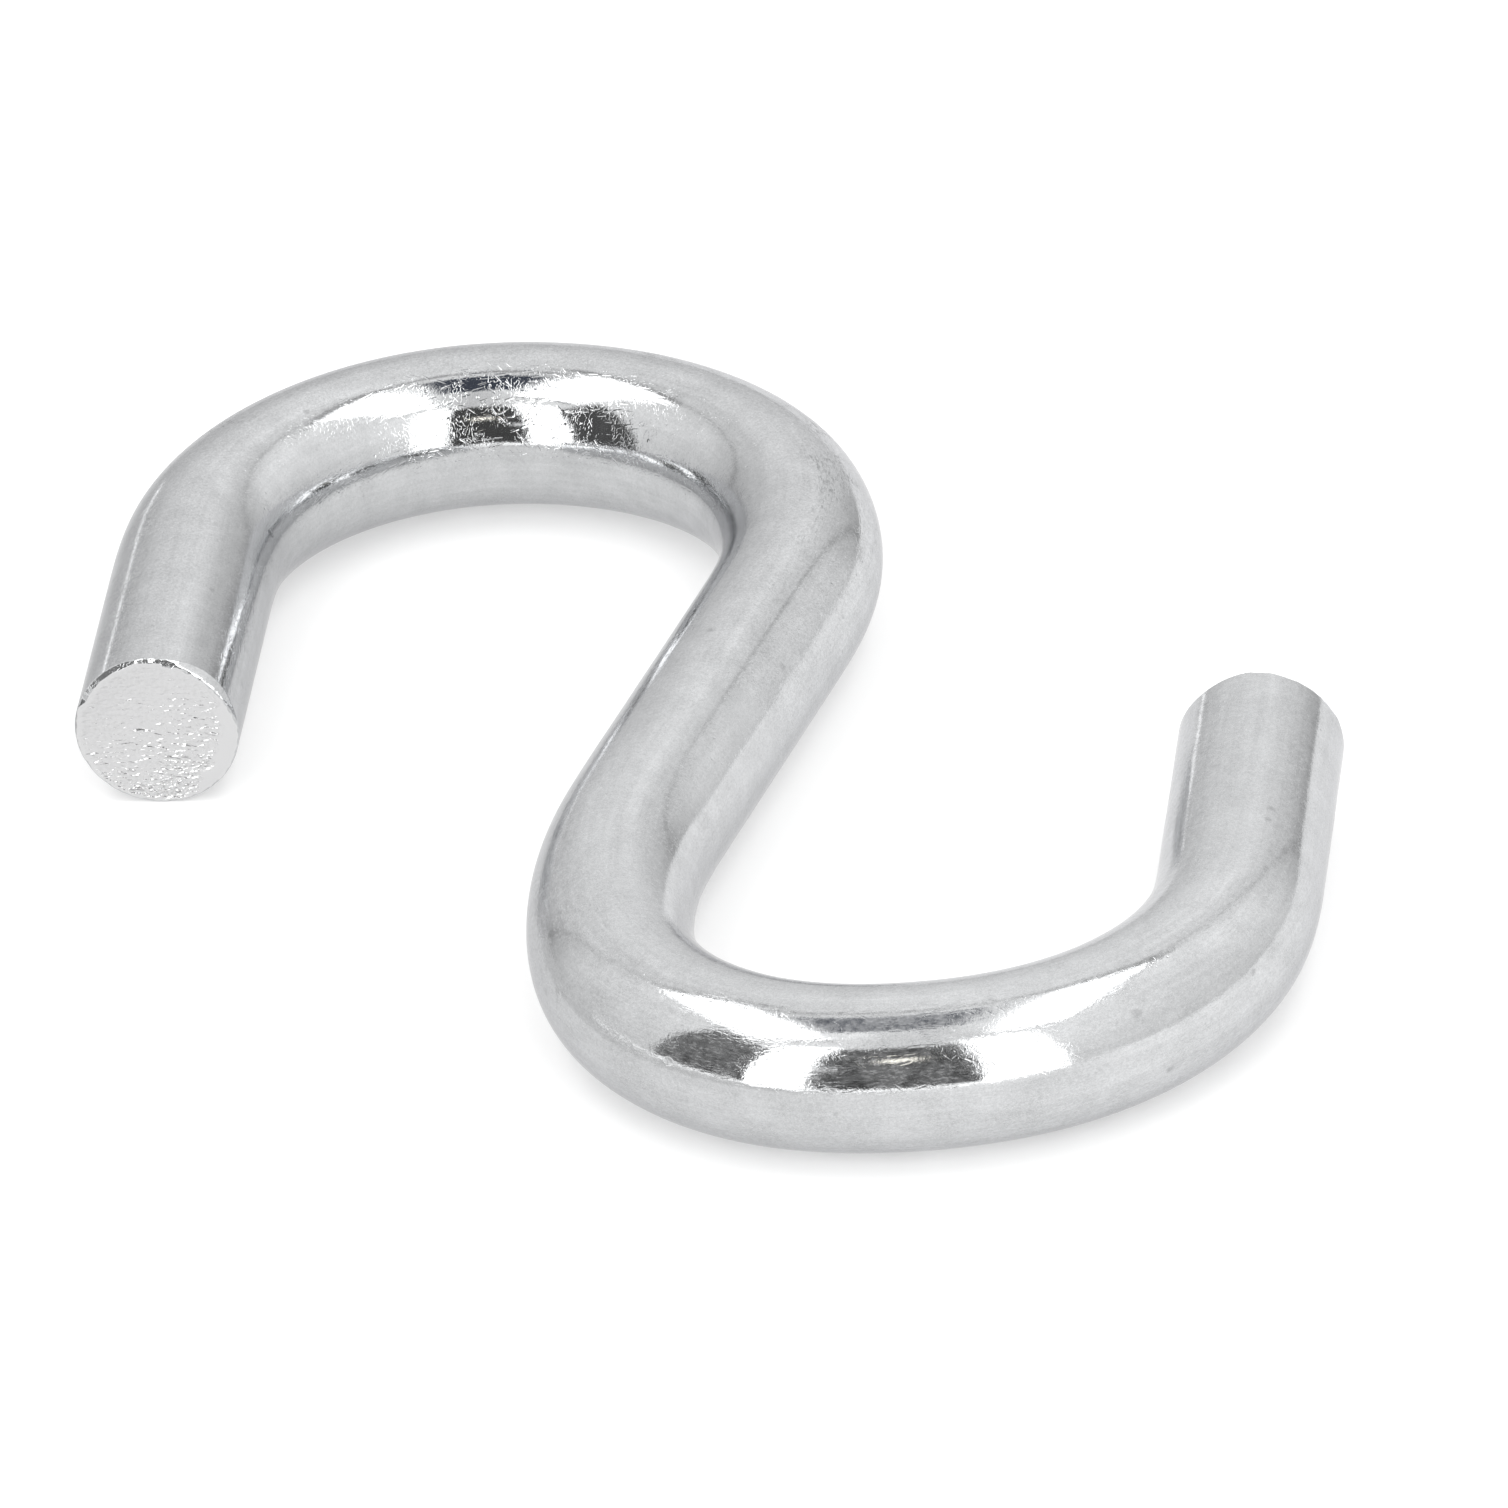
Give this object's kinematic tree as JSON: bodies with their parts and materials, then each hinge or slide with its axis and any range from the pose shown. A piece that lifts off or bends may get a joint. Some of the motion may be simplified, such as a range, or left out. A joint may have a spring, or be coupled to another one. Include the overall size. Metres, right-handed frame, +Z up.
{
  "type": "s hook",
  "caption": "Bent round-bar S hook with two opposed open hooks, for hanging a load from a rail, ring or chain link.",
  "frame": {"origin": "on the surface that the hook lies on, midway between its two hooks", "axes": "+Z up, square to the plane of the bar; +Y along the load line through the middle of both hooks, towards hook A; +X to the right of it"},
  "size_m": [0.0298, 0.0484, 0.005],
  "materials": {
    "zinc_plate": "bright zinc plate on steel wire, glossy with a fine satin grain"
  },
  "bodies": {
    "root": {"s_hook": "zinc_plate"}
  },
  "joints": []
}
